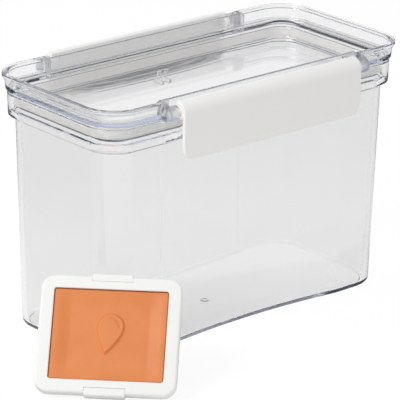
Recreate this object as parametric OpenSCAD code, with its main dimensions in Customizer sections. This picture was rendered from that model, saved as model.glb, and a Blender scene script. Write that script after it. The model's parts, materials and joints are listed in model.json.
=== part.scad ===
// Pantry storage container: a clear tub with a waisted grip, a recessed clear lid held by two
// wide hinged latches, a seal in the lid, and a framed clay insert that leans on one corner.
// The origin is under the middle of the tub, X runs along its length and +Z is up.

/* [Outline] */
// Length over the lid's rim
rim_l = 218; // [190:1:280]
// Width over the lid's rim
rim_w = 104.4; // [90:0.2:140]
// Height to the top of the lid's rim
rim_h = 145.6; // [110:0.2:200]
// Corner radius of the lid's rim
rim_r = 21; // [17:0.5:26]

/* [Tub] */
// Wall thickness of the tub
tub_wall = 2.4; // [1.8:0.1:3.2]
// Thickness of the tub's floor
tub_floor = 3; // [2:0.1:5]
// Corner radius of the tub's wall
tub_r = 18; // [12:0.5:24]
// How far the wall stands in from the rim, just under the collar
wall_inset = 6; // [5:0.1:8]
// How much narrower each side is at the foot
draft = 2.2; // [0.5:0.1:4]
// How deep each long side curves in at its middle
waist_depth = 4.8; // [1:0.1:7]
// Distance from the rim's end to where that curve starts
waist_end = 43; // [36:0.5:60]
// Rounding of the lower outer edge
foot_round = 3; // [1:0.5:5]
// Fillet between the wall and the floor inside
floor_fillet = 5; // [2:0.5:8]
// Height of the raised pad that the tub stands on
pad_h = 0.6; // [0.3:0.1:1]
// How far the pad stands in from the rounding of the lower edge
pad_edge = 2; // [0.5:0.5:4]

/* [Mouth] */
// How far the neck stands in from the rim
neck_inset = 4; // [3.8:0.1:4.6]
// Height of the neck that shows above the collar
neck_h = 1.2; // [0.8:0.1:3]
// Thickness of the neck
neck_wall = 2.2; // [1.6:0.1:2.6]
// Depth of the bore that the lid's recess goes down into
bore_h = 9.3; // [8:0.1:11]
// How far the collar that the latches hook under stands out from the neck
collar_out = 1; // [0.8:0.1:1.4]
// Height of the collar
collar_h = 12.6; // [9:0.1:15]
// Height of the catch that is left of the collar behind each latch
catch_h = 4.5; // [3:0.1:6]
// Height of the flare from the wall out to the collar
flare_h = 2; // [1.5:0.5:6]

/* [Lid] */
// Height of the rim above the ledge
upstand_h = 7; // [5:0.1:9]
// Height of the lip round the top of the rim
lip_h = 2.4; // [1.5:0.1:4]
// Overhang of that lip
lip_out = 1.6; // [1:0.1:2.6]
// Thickness of the rim's wall at its top
rim_wall = 3.8; // [3:0.1:4.4]
// Thickness of the ledge that covers the neck
ledge_t = 2.4; // [1.8:0.1:3]
// Thickness of the recessed panel and its wall
panel_t = 2; // [1.5:0.1:3]
// Depth of the recess below the ledge
recess_depth = 10.2; // [8:0.1:12]

/* [Seal] */
// Radial thickness of the seal, lips and all
seal_t = 3.1; // [2:0.1:4]
// Height of the seal
seal_h = 6; // [4:0.1:7]
// Drop from the ledge's underside to the seal
seal_drop = 1.8; // [1:0.1:2.4]
// Height of each sealing lip
seal_lip_h = 1.2; // [0.8:0.1:1.6]
// How far the lips stand out of the seal's band
seal_lip = 1.1; // [0.5:0.1:1.6]

/* [Latches] */
// Distance from the rim's end to the latch's end
latch_end = 45.2; // [36:0.2:60]
// Thickness of a latch
latch_t = 2.2; // [1.6:0.1:2.6]
// Outer radius of the latch's rolled top
roll_r = 6; // [5.4:0.1:6.1]
// How far the hinge axis stands out from the rim
hinge_out = 2.1; // [1.9:0.1:2.6]
// Drop from the hinge axis to the latch's lower edge
latch_drop = 25.6; // [23:0.1:30]
// Rounding of the latch's lower corners
latch_corner_r = 6; // [3:0.5:8]
// Thickness of the hook under the collar
hook_t = 2.5; // [1.8:0.1:3]
// How far each end of the hook stops short of the latch's end
hook_short = 8.8; // [5:0.2:20]
// Gap between the hook's top and the collar
hook_slack = 0.6; // [0.3:0.1:1]
// Radius of the hinge pins at the latch's ends
pin_r = 1.5; // [1:0.1:2]
// Length of a hinge pin outside the latch
pin_l = 4.7; // [3.5:0.1:6]
// Thickness of the end plate of a latch bay
post_t = 2.8; // [2:0.1:4]

/* [Insert] */
// Width of the insert's frame
insert_w = 74.8; // [60:0.2:90]
// Height of the insert's frame
insert_h = 65; // [50:0.5:80]
// Thickness of the insert
insert_t = 6; // [5:0.1:9]
// Corner radius of the frame
insert_r = 7.5; // [4:0.5:10]
// Width of the frame's side bars
side_bar = 7; // [6:0.1:9]
// Width of the bars at the head and the foot
end_bar = 7.2; // [6:0.1:9]
// How far the frame laps over the clay
lap = 2; // [1:0.1:3]
// Thickness of the frame in front of the clay
lap_t = 1.2; // [0.8:0.1:2]
// Thickness of the back frame
back_t = 1.6; // [1.2:0.1:2.4]
// Width of a snap tongue
tongue_w = 21.6; // [14:0.2:30]
// How far a tongue stands out past the frame
tongue_out = 1.3; // [0.6:0.1:2]
// Depth of the notch that a tongue sits in
notch_d = 3; // [2:0.1:3.5]
// Angle that the insert leans back
lean = 42; // [30:1:48]
// How far the insert stands off the corner's middle line, sideways
insert_side = 1.7; // [-6:0.1:6]
// Width of the droplet raised on the clay
drop_w = 15.2; // [10:0.2:20]
// Length of the droplet
drop_l = 22; // [16:0.5:26]
// Height of the raised droplet
drop_h = 0.5; // [0.3:0.1:0.9]

/* [Fits] */
// Gap between a latch's hook and the neck, so that the lid lifts past it
hook_gap = 0.3; // [0.2:0.05:0.5]
// Gap between pieces that lie next to each other and part
part_gap = 0.4; // [0.3:0.05:0.6]
// Radial clearance of a hinge pin
pin_gap = 0.05; // [0.02:0.01:0.1]
// Side clearance of the clay and of the tongues
slip_gap = 0.2; // [0.1:0.05:0.4]

/* [Hidden] */
$fn = 64;
clear = [0.9, 0.93, 0.96, 0.4];
white = [0.93, 0.93, 0.91];
half_l = rim_l / 2;
half_w = rim_w / 2;
eps = 0.01;
// How far a cutting shape reaches past what it cuts
cut = 1;
// Smallest corner radius of an outline
least_r = 2;
// Turn of the tub's corner that the insert leans on
corner_turn = 45;

// Heights, counted down from the rim
ledge_top = rim_h - upstand_h;
ledge_low = ledge_top - ledge_t;
neck_top = ledge_low - part_gap;
bore_low = neck_top - bore_h;
collar_top = neck_top - neck_h;
collar_low = collar_top - collar_h;
catch_top = collar_low + catch_h;
wall_top = collar_low - flare_h;
panel_top = ledge_top - recess_depth;
panel_low = panel_top - panel_t;
seal_top = ledge_low - seal_drop;
seal_low = seal_top - seal_h;

// Insets from the rim's outline, counted inwards
collar_inset = neck_inset - collar_out;
skirt_inset = lip_out;
tray_out = neck_inset + neck_wall + part_gap + seal_t;
tray_in = tray_out + panel_t;
foot_inset = wall_inset + draft;
// Half length of the curved stretch of each long side
waist_half = half_l - waist_end;
// Width of the flat underside of the collar
collar_under = 1.6;
// Rounding of the collar's edges
collar_round = 0.4;
// Slope from the neck's bore down to the wall's
mouth_slope = 3;

// Latch hinge, for the latch at the front
hinge_y = -half_w - hinge_out;
hinge_z = rim_h - roll_r;
latch_half = half_l - latch_end;
hook_half = latch_half - hook_short;
// Spare room past the end of a pin and behind the latch's roll
spare = 0.1;
bay_half = latch_half + part_gap + pin_l + spare;
bay_inset = roll_r - hinge_out + part_gap + spare;
// Thickness of the roll outside the lid's knuckles
knuckle_in = 1.8;
knuckle_r = roll_r - knuckle_in;
// Thickness of the ears that carry the pins
ear_t = 2.5;
hook_top = collar_low - hook_slack;
hook_tip_y = -half_w + neck_inset - hook_gap;
// Pocket in the collar that the hook passes on its way up, and the slope at the pocket's ends
pocket_half = hook_half + part_gap;
pocket_side = 2;
// How far the end plates of a bay reach down below the hinge, and stop short of the rim's top
post_drop = 5;
post_short = 0.6;
post_low = hinge_z - post_drop;
// Inner edge of the part of an end plate that hangs in front of the collar
post_in = collar_inset - part_gap;
// How far the roll wraps in past the hinge axis
roll_wrap = 1.9;

// Prongs under the lid that take the insert's tongues
prong_w = 1.6;
prong_t = 3.4;
prong_gap_x = 5.2;
prong_nib = 1.6;
prong_drop = 6.4;

// Insert: its back lower edge stands at the foot, its back upper edge lies on the corner
lean_h = insert_h + 2 * tongue_out;
lean_z = lean_h * cos(lean);
lean_inset = wall_inset + draft * (1 - lean_z / wall_top);
corner_x = -half_l + lean_inset + tub_r * (1 - cos(corner_turn));
corner_y = -half_w + lean_inset + tub_r * (1 - cos(corner_turn));
insert_out = lean_h * sin(lean) + part_gap;
tile_w = insert_w - 2 * side_bar + 2 * lap - 2 * slip_gap;
tile_h = insert_h - 2 * end_bar + 2 * lap - 2 * slip_gap;
window_r = 1.5;
// Share of the clay's back that the back frame's window leaves open
back_window = 0.8;

// Outlines

// Points along an arc about a centre, from one angle to another
function arc(c, r, from, to, n = 10) =
    [for (k = [0:n]) let (a = from + (to - from) * k / n) [c[0] + r * cos(a), c[1] + r * sin(a)]];

// Places along a long side: the ends of its curve, the slopes of the hook's pocket and even steps between
function side_places(n = 14) = concat(
    [waist_half, pocket_half + pocket_side], [for (k = [0:n]) pocket_half * (1 - 2 * k / n)],
    [-pocket_half - pocket_side, -waist_half]);

// Points along a long side, drawn in at its middle and cut back in the pocket; dir is 1 for the back and -1
// for the front
function long_side(y, deep, dir, pocket) =
    [for (x = side_places()) let (t = x / waist_half, cut_back = abs(x) > pocket_half ? 0 : pocket)
     [dir * x, dir * (y - deep * (1 - t * t) - cut_back)]];

// One level of the tub: a rounded outline with both long sides drawn in, at one height
function tub_ring(inset, r, deep, z, pocket = 0) =
    let (x = half_l - inset, y = half_w - inset)
    [for (p = concat(
        arc([x - r, y - r], r, 0, 90), long_side(y, deep, 1, pocket),
        arc([-x + r, y - r], r, 90, 180), arc([-x + r, -y + r], r, 180, 270),
        long_side(y, deep, -1, pocket), arc([x - r, -y + r], r, 270, 360)))
     [p[0], p[1], z]];

// Quarter round from a vertical wall into a level face, as [inset added, height] pairs
function quarter(r, n = 4) = [for (k = [0:n]) [r * (1 - cos(90 * k / n)), r * (1 - sin(90 * k / n))]];

// Rounded rectangle that stands in from the rim by a given inset
module plan(inset, r) {
    x = half_l - inset;
    y = half_w - inset;
    square([2 * (x - r), 2 * y], center = true);
    square([2 * x, 2 * (y - r)], center = true);
    for (sx = [-1, 1], sy = [-1, 1]) translate([sx * (x - r), sy * (y - r)]) circle(r);
}

// Prism of that outline between two heights, with corners concentric with the rim's
module slab(inset, low, high) {
    translate([0, 0, low]) linear_extrude(high - low) plan(inset, max(rim_r - inset, least_r));
}

// Rounded rectangle by its own width and height
module panel_outline(w, h, r) {
    square([w - 2 * r, h], center = true);
    square([w, h - 2 * r], center = true);
    for (sx = [-1, 1], sy = [-1, 1]) translate([sx * (w / 2 - r), sy * (h / 2 - r)]) circle(r);
}

// Closed skin through a stack of rings that all have the same number of points
module loft(rings) {
    n = len(rings[0]);
    last = len(rings) - 1;
    sides = [for (k = [0:last - 1], i = [0:n - 1])
        let (a = k * n + i, b = k * n + (i + 1) % n)
        each [[a, a + n, b + n], [a, b + n, b]]];
    caps = [[for (i = [0:n - 1]) i], [for (i = [n - 1:-1:0]) last * n + i]];
    polyhedron([for (r = rings) each r], concat(sides, caps));
}

// Tub

module container_body() {
    neck_r = rim_r - neck_inset;
    bore_inset = neck_inset + neck_wall;
    bore_r = rim_r - bore_inset;
    inner_r = tub_r - tub_wall;
    floor_z = pad_h + tub_floor;
    edge = quarter(foot_round);
    fillet = quarter(floor_fillet);
    pad_in = foot_round + pad_edge;
    pad = [for (z = [0, pad_h]) tub_ring(foot_inset + pad_in, tub_r - pad_in, waist_depth, z)];
    outside = concat(
        [for (k = [len(edge) - 1:-1:0])
            tub_ring(foot_inset + edge[k][0], tub_r - edge[k][0], waist_depth, pad_h + edge[k][1])],
        [tub_ring(wall_inset, tub_r, waist_depth, wall_top),
         tub_ring(collar_inset + collar_under, neck_r, 0, collar_low),
         tub_ring(collar_inset + collar_round, neck_r, 0, collar_low),
         tub_ring(collar_inset, neck_r, 0, collar_low + collar_round),
         tub_ring(collar_inset, neck_r, 0, catch_top - collar_out),
         tub_ring(collar_inset, neck_r, 0, catch_top, collar_out),
         tub_ring(collar_inset, neck_r, 0, collar_top - collar_round, collar_out),
         tub_ring(collar_inset + collar_round, neck_r, 0, collar_top, collar_out - collar_round),
         tub_ring(neck_inset, neck_r, 0, collar_top + collar_round),
         tub_ring(neck_inset, neck_r, 0, neck_top)]);
    inside = concat(
        [tub_ring(bore_inset, bore_r, 0, neck_top),
         tub_ring(bore_inset, bore_r, 0, bore_low),
         tub_ring(wall_inset + tub_wall, inner_r, 0, bore_low - mouth_slope),
         tub_ring(wall_inset + tub_wall, inner_r, waist_depth, wall_top)],
        [for (k = [0:len(fillet) - 1])
            tub_ring(foot_inset + tub_wall + fillet[k][0], inner_r - fillet[k][0], waist_depth,
                     floor_z + fillet[k][1])]);
    color(clear) loft(concat(pad, outside, inside));
}

// Lid

// A shape and its mirror image across the middle of one axis
module twice(axis) {
    children();
    mirror(axis) children();
}

// Copies at both ends of both latch bays
module at_bay_ends() {
    twice([1, 0, 0]) twice([0, 1, 0]) children();
}

// Solid of the lid before its latch bays are cut
module lid_shell() {
    difference() {
        union() {
            slab(0, rim_h - lip_h, rim_h);
            slab(skirt_inset, ledge_low, rim_h - lip_h);
            slab(tray_out, panel_low, ledge_low);
        }
        slab(rim_wall, ledge_top, rim_h + cut);
        slab(tray_in, panel_top, rim_h + cut);
    }
}

// Space that one latch turns in
module latch_bay() {
    translate([-bay_half, -half_w - cut, ledge_low - cut])
        cube([2 * bay_half, bay_inset + cut, upstand_h + ledge_t + 2 * cut]);
}

// Wall behind one latch, set in from the rim
module bay_wall() {
    translate([-bay_half - post_t, -half_w + bay_inset, ledge_low])
        cube([2 * (bay_half + post_t), panel_t, rim_h - ledge_low]);
}

// End plate of a latch bay with the round knuckle that a hinge pin turns in
module bay_post() {
    translate([bay_half, hinge_y, post_low])
        cube([post_t, hinge_out + post_in, rim_h - post_low - post_short]);
    translate([bay_half, -half_w + post_in - eps, ledge_low])
        cube([post_t, bay_inset + panel_t - post_in + eps, rim_h - ledge_low - post_short]);
    translate([latch_half + part_gap, hinge_y, hinge_z])
        rotate([0, 90, 0]) cylinder(r = knuckle_r, h = bay_half + post_t - latch_half - part_gap);
}

// Blind bore for a hinge pin
module pin_bore() {
    translate([latch_half, hinge_y, hinge_z])
        rotate([0, 90, 0]) cylinder(r = pin_r + pin_gap, h = part_gap + pin_l + spare);
}

// One of the prongs under the panel, hooked towards the middle
module prong() {
    y = lean_h / 2 + part_gap;
    translate([prong_gap_x / 2 - prong_w / 2, y, panel_low - prong_drop])
        cube([prong_w, prong_t, prong_drop + panel_t / 2]);
    translate([prong_gap_x / 2 - prong_w / 2, y - prong_nib, panel_low - prong_drop])
        cube([prong_w, prong_nib + eps, prong_nib]);
}

module lid() {
    bead_h = 0.9;
    bead_out = 0.6;
    color(clear) difference() {
        union() {
            difference() {
                lid_shell();
                twice([0, 1, 0]) latch_bay();
            }
            twice([0, 1, 0]) bay_wall();
            at_bay_ends() bay_post();
            at_bay_ends() prong();
            // Shoulder above the seal and bead below it, which keep it on the wall of the recess
            for (span = [[seal_low - bead_h, seal_low], [seal_top, ledge_low]]) difference() {
                slab(tray_out - bead_out, span[0], span[1]);
                slab(tray_in, span[0] - cut, span[1] + cut);
            }
        }
        at_bay_ends() pin_bore();
    }
}

// Seal

module lid_seal() {
    band_inset = tray_out - seal_t + seal_lip;
    lip_edge = 0.6;
    color([0.8, 0.78, 0.74]) difference() {
        union() {
            slab(band_inset, seal_low, seal_top);
            for (z = [seal_low + lip_edge, seal_top - lip_edge - seal_lip_h])
                slab(tray_out - seal_t, z, z + seal_lip_h);
        }
        slab(tray_out, seal_low - cut, seal_top + cut);
    }
}

// Latches

// Section of a latch across its length: rolled top, flat panel
module latch_section() {
    intersection() {
        translate([hinge_y, hinge_z]) difference() {
            circle(roll_r);
            circle(roll_r - latch_t);
        }
        translate([hinge_y - roll_r, hinge_z]) square([roll_r + roll_wrap, roll_r]);
    }
    translate([hinge_y - roll_r, hinge_z - latch_drop]) square([latch_t, latch_drop]);
}

// Face of a latch seen from the front, with its lower corners rounded
module latch_face() {
    low = hinge_z - latch_drop;
    translate([-latch_half + latch_corner_r, low]) square([2 * (latch_half - latch_corner_r), latch_drop]);
    translate([-latch_half, low + latch_corner_r]) square([2 * latch_half, latch_drop]);
    for (sx = [-1, 1]) translate([sx * (latch_half - latch_corner_r), low + latch_corner_r])
        circle(latch_corner_r);
}

// Carries a section drawn in Y and Z along X
module along_x(from, to) {
    translate([from, 0, 0]) rotate([90, 0, 90]) linear_extrude(to - from) children();
}

module latch_solid() {
    intersection() {
        along_x(-latch_half, latch_half) latch_section();
        translate([0, hinge_y + roll_r, 0]) rotate([90, 0, 0]) linear_extrude(3 * roll_r) latch_face();
    }
    hook_y = hinge_y - roll_r + latch_t / 2;
    translate([-hook_half, hook_y, hook_top - hook_t]) cube([2 * hook_half, hook_tip_y - hook_y, hook_t]);
    twice([1, 0, 0]) {
        along_x(latch_half - ear_t, latch_half) translate([hinge_y, hinge_z]) circle(knuckle_r);
        translate([latch_half - ear_t, hinge_y, hinge_z])
            rotate([0, 90, 0]) cylinder(r = pin_r, h = ear_t + pin_l);
    }
}

module front_latch() {
    color(white) latch_solid();
}

module back_latch() {
    color(white) mirror([0, 1, 0]) latch_solid();
}

// Insert

// Stands a piece drawn upright, back edge at the origin, where the insert leans
module leaning() {
    along = [-cos(corner_turn), -sin(corner_turn)];
    aside = [sin(corner_turn), -cos(corner_turn)];
    translate([corner_x + insert_out * along[0] + insert_side * aside[0],
               corner_y + insert_out * along[1] + insert_side * aside[1], 0])
        rotate([0, 0, -corner_turn]) rotate([-lean, 0, 0]) children();
}

// Plate drawn in X and Z about the insert's middle, between two depths in front of its back
module plate(from, to) {
    translate([0, -from, lean_h / 2]) rotate([90, 0, 0]) linear_extrude(to - from) children();
}

// Both tongue places, at the head and at the foot
module tongue_outline(w, deep, out) {
    twice([0, 1]) translate([-w / 2, insert_h / 2 - deep]) square([w, deep + out]);
}

module insert_frame() {
    window_w = insert_w - 2 * side_bar;
    window_h = insert_h - 2 * end_bar;
    color([0.96, 0.96, 0.95]) leaning() difference() {
        plate(back_t, insert_t) panel_outline(insert_w, insert_h, insert_r);
        plate(0, insert_t + cut) panel_outline(window_w, window_h, window_r);
        plate(0, insert_t - lap_t)
            panel_outline(window_w + 2 * lap, window_h + 2 * lap, window_r);
        plate(0, insert_t + cut) tongue_outline(tongue_w + 4 * slip_gap, notch_d, cut);
    }
}

module insert_back() {
    color(white) leaning() {
        difference() {
            plate(0, back_t) panel_outline(insert_w, insert_h, insert_r);
            plate(-cut, back_t + cut) panel_outline(tile_w * back_window, tile_h * back_window, window_r);
        }
        plate(0, insert_t) tongue_outline(tongue_w, notch_d - 2 * slip_gap, tongue_out);
    }
}

// Droplet with a round head and a point below, drawn about its middle: the height follows a cosine, the
// half width a sine that fades out towards the point
function droplet(w, l, fade = 1.5, n = 48) =
    let (top = atan(sqrt(fade + 1)), peak = 2 * cos(top) * pow(sin(top), fade + 1))
    [for (k = [0:n - 1]) let (t = 360 * k / n)
     [w / 2 / peak * sin(t) * pow(sin(t / 2), fade), -l / 2 * cos(t)]];

module clay_tile() {
    face = insert_t - lap_t;
    color([0.89, 0.56, 0.36]) leaning() {
        plate(back_t, face) panel_outline(tile_w, tile_h, window_r);
        plate(face - lap_t, face + drop_h) polygon(droplet(drop_w, drop_l));
    }
}

container_body();
lid();
lid_seal();
front_latch();
back_latch();
insert_frame();
insert_back();
clay_tile();
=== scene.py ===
"""A clear pantry storage container with a latched lid and a framed clay insert, dressed for rendering.

Every surface is a grid worked out with numpy: a profile carried round the tub's outline, a section
carried along a latch, or a height drawn over the clay. Lengths are in metres.
"""

import json
import math

import bmesh
import bpy
import numpy as np
from mathutils import Matrix, Vector


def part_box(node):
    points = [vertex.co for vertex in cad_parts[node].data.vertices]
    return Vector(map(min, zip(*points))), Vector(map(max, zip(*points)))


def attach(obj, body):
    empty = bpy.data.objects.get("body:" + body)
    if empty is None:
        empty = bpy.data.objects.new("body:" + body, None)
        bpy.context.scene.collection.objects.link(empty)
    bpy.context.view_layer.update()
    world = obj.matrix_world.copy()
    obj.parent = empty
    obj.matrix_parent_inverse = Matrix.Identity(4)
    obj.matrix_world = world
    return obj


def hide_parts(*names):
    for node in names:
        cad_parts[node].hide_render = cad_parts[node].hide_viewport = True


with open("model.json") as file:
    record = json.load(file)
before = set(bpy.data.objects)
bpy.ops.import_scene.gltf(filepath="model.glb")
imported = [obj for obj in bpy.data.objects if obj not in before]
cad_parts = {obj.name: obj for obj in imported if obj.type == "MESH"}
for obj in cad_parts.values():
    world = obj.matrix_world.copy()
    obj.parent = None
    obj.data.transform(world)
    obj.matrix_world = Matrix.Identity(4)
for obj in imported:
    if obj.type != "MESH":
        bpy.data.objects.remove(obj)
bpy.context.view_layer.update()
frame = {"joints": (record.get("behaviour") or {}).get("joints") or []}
MM = 0.001


def put_in_scene(name, data):
    """An object for a camera, a lamp or a mesh, placed in the scene."""
    thing = bpy.data.objects.new(name, data)
    bpy.context.scene.collection.objects.link(thing)
    return thing


# Camera

CAMERA_AZIMUTH = math.radians(-41.03)
CAMERA_HEIGHT_ANGLE = math.radians(19.95)
CAMERA_ROLL = math.radians(0.9)
CAMERA_DISTANCE = 1.6146
CAMERA_ORBIT_CENTRE = Vector((0, 0, 0.072))
CAMERA_AIM = Vector((-0.0025, -0.0028, 0.0617))
CAMERA_SENSOR = 36.0
CAMERA_LENS = 260.3


def make_camera():
    """Stands the camera on a sphere about the tub and points it at the middle of the picture."""
    level = math.cos(CAMERA_HEIGHT_ANGLE)
    away = Vector((math.sin(CAMERA_AZIMUTH) * level, -math.cos(CAMERA_AZIMUTH) * level,
                   math.sin(CAMERA_HEIGHT_ANGLE)))
    place = CAMERA_ORBIT_CENTRE + CAMERA_DISTANCE * away
    data = bpy.data.cameras.new("camera")
    data.sensor_width = CAMERA_SENSOR
    data.lens = CAMERA_LENS
    data.clip_start = 0.05
    data.clip_end = 50
    camera = put_in_scene("camera", data)
    turn = (CAMERA_AIM - place).to_track_quat("-Z", "Y").to_matrix().to_4x4()
    roll = Matrix.Rotation(CAMERA_ROLL, 4, "Z")
    camera.matrix_world = Matrix.Translation(place) @ turn @ roll
    bpy.context.scene.camera = camera


# Sizes, read from the frame where it gives them

TUB_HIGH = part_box("container_body")[1]
LID_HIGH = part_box("lid")[1]
LATCH_LOW, LATCH_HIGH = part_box("front_latch")
NECK_INSET = 4 * MM
COLLAR_INSET = 3 * MM
HALF_L = LID_HIGH.x
HALF_W = TUB_HIGH.y + COLLAR_INSET
RIM_Z = LID_HIGH.z
NECK_TOP = TUB_HIGH.z
HINGE = Vector(next(j["pos_m"] for j in frame["joints"] if j["name"] == "front_latch_turn"))

# Shared by several pieces
SHARP = math.radians(40)
DIAGONAL = math.cos(math.radians(45))
CLOSING_SHARES = np.array([0.3, 0.6, 0.9])
LEAST_RADIUS = 2 * MM
AXIS_RADIUS = 0.1 * MM

# Tub
COLLAR_TOP = NECK_TOP - 1.2 * MM
COLLAR_LOW = COLLAR_TOP - 12.6 * MM
COLLAR_TAPER = 0.25 * MM
COLLAR_UNDER = 1.6 * MM
CATCH_TOP = COLLAR_LOW + 4.5 * MM
CATCH_RUN = 1 * MM
POCKET_HALF = HALF_L - 53.6 * MM
POCKET_SIDE = 2 * MM
WALL_TOP = COLLAR_LOW - 2 * MM
WALL_INSET = 6 * MM
FOOT_INSET = 8.2 * MM
FOOT_ROUND = 3 * MM
TUB_WALL = 2.4 * MM
TUB_RADIUS = 18 * MM
NECK_RADIUS = 17 * MM
BORE_INSET = NECK_INSET + 2.2 * MM
BORE_LOW = NECK_TOP - 9.3 * MM
MOUTH_STEP = 1 * MM
MOUTH_DROP = 1.3 * MOUTH_STEP
WAIST_DEPTH = 4.8 * MM
WAIST_HALF = HALF_L - 43 * MM
CREASE_WIDTH = 1.2 * MM
CREASE_SHARE = 0.008
PAD_HEIGHT = 0.6 * MM
PAD_INSET = FOOT_INSET + 5 * MM
PAD_SLOPE = 0.4 * MM
FLOOR_TOP = 2.8 * MM
FLOOR_FILLET = 1.2 * MM
FLOOR_START = FOOT_INSET + 9 * MM
GATE_PLACE = Vector((-2 * MM, -6 * MM))
GATE_RADIUS = 2.6 * MM
GATE_HEIGHT = 0.3 * MM
GATE_INNER = 0.5

# Lid
RIM_RADIUS = 21 * MM
LEDGE_TOP = RIM_Z - 7 * MM
LEDGE_LOW = LEDGE_TOP - 2.4 * MM
PANEL_TOP = LEDGE_TOP - 10.2 * MM
PANEL_LOW = PANEL_TOP - 2 * MM
TRAY_OUT = 9.7 * MM
TRAY_IN = 11.7 * MM
LIP_LOW = RIM_Z - 2.4 * MM
RIM_WALL = 3.8 * MM
SKIRT_INSET = 1.6 * MM
SKIRT_TAPER = 0.4 * MM
PANEL_START = 14 * MM
BEAD_OUT = 9.1 * MM
BEAD_HEIGHT = 0.9 * MM
BAY_HALF = HALF_L - 40 * MM
BAY_STEP = BAY_HALF + 1 * MM
BAY_STEP_RUN = 0.02 * MM
BAY_OUT = 4.4 * MM
BAY_IN = 6.4 * MM
POST_T = 2.8 * MM
POST_IN = COLLAR_INSET - 0.4 * MM
POST_LOW = HINGE.z - 5 * MM
POST_TOP = RIM_Z - 0.6 * MM
PRONG_Y = 33.4 * MM
PRONG_T = 0.9 * MM
PRONG_FRONT = 29.8 * MM
PRONG_BACK = 37 * MM
PRONG_FOOT = 2.2 * MM
PRONG_DROP = 7.2 * MM
PRONG_LEFT = 1.8 * MM
PRONG_RIGHT = 3.4 * MM

# Seal
SEAL_TOP = LEDGE_LOW - 1.8 * MM
SEAL_LOW = SEAL_TOP - 6 * MM
SEAL_BAND = TRAY_OUT - 2 * MM
SEAL_LIP = TRAY_OUT - 3.1 * MM
SEAL_LIP_EDGE = 0.6 * MM
SEAL_LIP_HEIGHT = 1.2 * MM
SEAL_LIP_SLOPE = 0.25 * MM
SEAL_CLEAR = 0.05 * MM
SEAL_ROUND = 0.2 * MM

# Latches
ROLL_RADIUS = 6 * MM
ROLL_WRAP = 1.9 * MM
LATCH_THICK = 2.2 * MM
LATCH_DROP = HINGE.z - LATCH_LOW.z
LATCH_HALF = BAY_HALF - 5.2 * MM
LATCH_CORNER_WIDE = 5 * MM
LATCH_CORNER_TALL = 9 * MM
LATCH_EDGE = 0.6 * MM
LATCH_SHARP = math.radians(50)
KNUCKLE_RADIUS = 4.2 * MM
KNUCKLE_START = LATCH_HALF + 0.4 * MM
PIN_RADIUS = 1.5 * MM
PIN_CLEAR = 0.05 * MM
PIN_END = LATCH_HIGH.x
EAR_T = 2.5 * MM
HOOK_TIP = 3.7 * MM - HALF_W
HOOK_TOP = COLLAR_LOW - 0.6 * MM
HOOK_LOW = HOOK_TOP - 2.5 * MM
HOOK_HALF = LATCH_HALF - 8.8 * MM

# Insert
INSERT_W = 74.8 * MM
INSERT_H = 65 * MM
INSERT_T = 6 * MM
INSERT_RADIUS = 7.5 * MM
SIDE_BAR = 7 * MM
END_BAR = 7.2 * MM
WINDOW_RADIUS = 1.5 * MM
LAP_T = 1.2 * MM
LAP_START = 5 * MM
BACK_T = 1.6 * MM
FRAME_CLEAR = 0.02 * MM
TILE_CLEAR = 0.03 * MM
TONGUE_W = 21.6 * MM
TONGUE_OUT = 1.3 * MM
TONGUE_GAP = 0.05 * MM
TONGUE_EDGE = 0.4 * MM
TONGUE_END_SHARE = 0.9
NOTCH_D = 3 * MM
TILE_W = 64.4 * MM
TILE_H = 54.2 * MM
BACK_WINDOW = 0.1 * TILE_W + SIDE_BAR - 2 * MM
LEAN = math.radians(42)
LEAN_H = INSERT_H + 2 * TONGUE_OUT
INSERT_SIDE = 1.7 * MM
STAND_OFF = 0.4 * MM
DISH_HALF_W = 24.4 * MM
DISH_SIDE_SLOPE = 4 * MM
DISH_HALF_H = 21 * MM
DISH_END_SLOPE = 6.5 * MM
DISH_DEPTH = 1.8 * MM
CREVICE_WIDTH = 0.7 * MM
CREVICE_DEPTH = 0.8 * MM

# Droplet; the groove's reach is a share of the head's radius, and its ends are angles in degrees
DROP_W = 15.2 * MM
DROP_L = 23.2 * MM
DROP_UP = 0.7 * MM
DROP_H = 1.5 * MM
DROP_FADE = 1.15
DROP_FLANK = 0.9 * MM
DROP_SOFT_FLANK = 1.2
DROP_CURL = 2.4 * MM
DROP_CURL_BACK = 0.2
DROP_CURL_START = 0.4
DROP_CURL_RATE = 1.2
GROOVE_DEPTH = 0.45 * MM
GROOVE_INNER = (0.54, 0.62)
GROOVE_OUTER = (0.66, 0.76)
GROOVE_FIRST = (-12, 6)
GROOVE_LAST = (84, 104)


def insert_foot():
    """Where the insert's lower back edge stands: out from the tub's rounded corner, along its diagonal, by
    the lean's reach and the stand-off, and a little to one side."""
    touch_z = LEAN_H * math.cos(LEAN)
    inset = WALL_INSET + (FOOT_INSET - WALL_INSET) * (1 - touch_z / WALL_TOP)
    corner = inset + TUB_RADIUS * (1 - DIAGONAL)
    reach = (LEAN_H * math.sin(LEAN) + STAND_OFF) * DIAGONAL
    aside = INSERT_SIDE * DIAGONAL
    return Vector((corner - HALF_L - reach + aside, corner - HALF_W - reach - aside, 0))


INSERT_FOOT = insert_foot()

# Surfaces


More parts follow.
